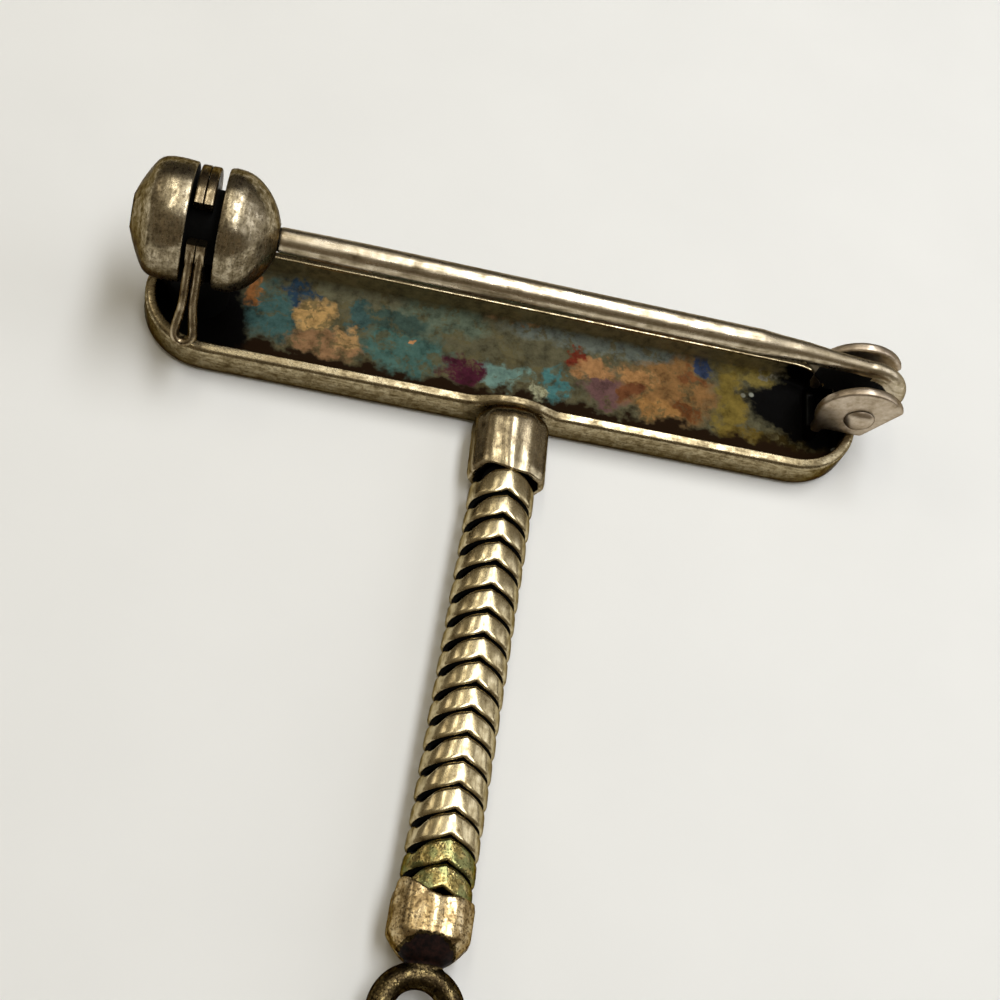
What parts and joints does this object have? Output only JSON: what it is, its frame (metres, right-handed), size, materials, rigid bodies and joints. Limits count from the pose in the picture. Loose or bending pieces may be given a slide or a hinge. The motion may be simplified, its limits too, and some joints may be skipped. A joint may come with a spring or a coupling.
{
  "type": "brooch",
  "caption": "Hollow bar brooch lying face down, with a hinged pin, a ball catch with a turning lever, and a snake chain that ends in a cap with a ring.",
  "frame": {"origin": "Middle of the bar's flat front face, which rests on the table.", "axes": "X runs along the bar from the catch towards the pin's joint, -Y goes down the chain, +Z points out of the bar's back."},
  "size_m": [0.0354, 0.0342, 0.008],
  "materials": {
    "tarnished_silver": "tarnished sterling silver, satin with scratches",
    "worn_silver": "worn sterling silver, polished by handling",
    "dark_silver": "dark tarnished sterling silver",
    "pitted_silver": "warm tarnished sterling silver, pitted",
    "chain_silver": "polished sterling silver, dark in the gaps"
  },
  "bodies": {
    "brooch": {"bar_shell": "tarnished_silver", "collar": "worn_silver", "link_01": "chain_silver", "link_02": "chain_silver", "link_03": "chain_silver", "link_04": "chain_silver", "link_05": "chain_silver", "link_06": "chain_silver", "link_07": "chain_silver", "link_08": "chain_silver", "link_09": "chain_silver", "link_10": "chain_silver", "link_11": "chain_silver", "link_12": "chain_silver", "link_13": "chain_silver", "link_14": "chain_silver", "link_15": "chain_silver", "link_16": "chain_silver", "link_17": "chain_silver", "end_cap": "pitted_silver", "catch_body": "tarnished_silver", "joint_bracket": "worn_silver", "joint_rivet": "worn_silver"},
    "pin": {"pin_stem": "worn_silver"},
    "lever": {"catch_rotor": "dark_silver"}
  },
  "joints": [
    {"name": "pin_swing", "type": "hinge", "parent": "brooch", "child": "pin", "pos_m": [0.0159, 0.0008, 0.00305], "axis": [0, 1, 0], "range_deg": [0, 60]},
    {"name": "catch_turn", "type": "hinge", "parent": "brooch", "child": "lever", "pos_m": [-0.0142, 0.00065, 0.0054], "axis": [-1, 0, 0], "range_deg": [0, 110]}
  ]
}
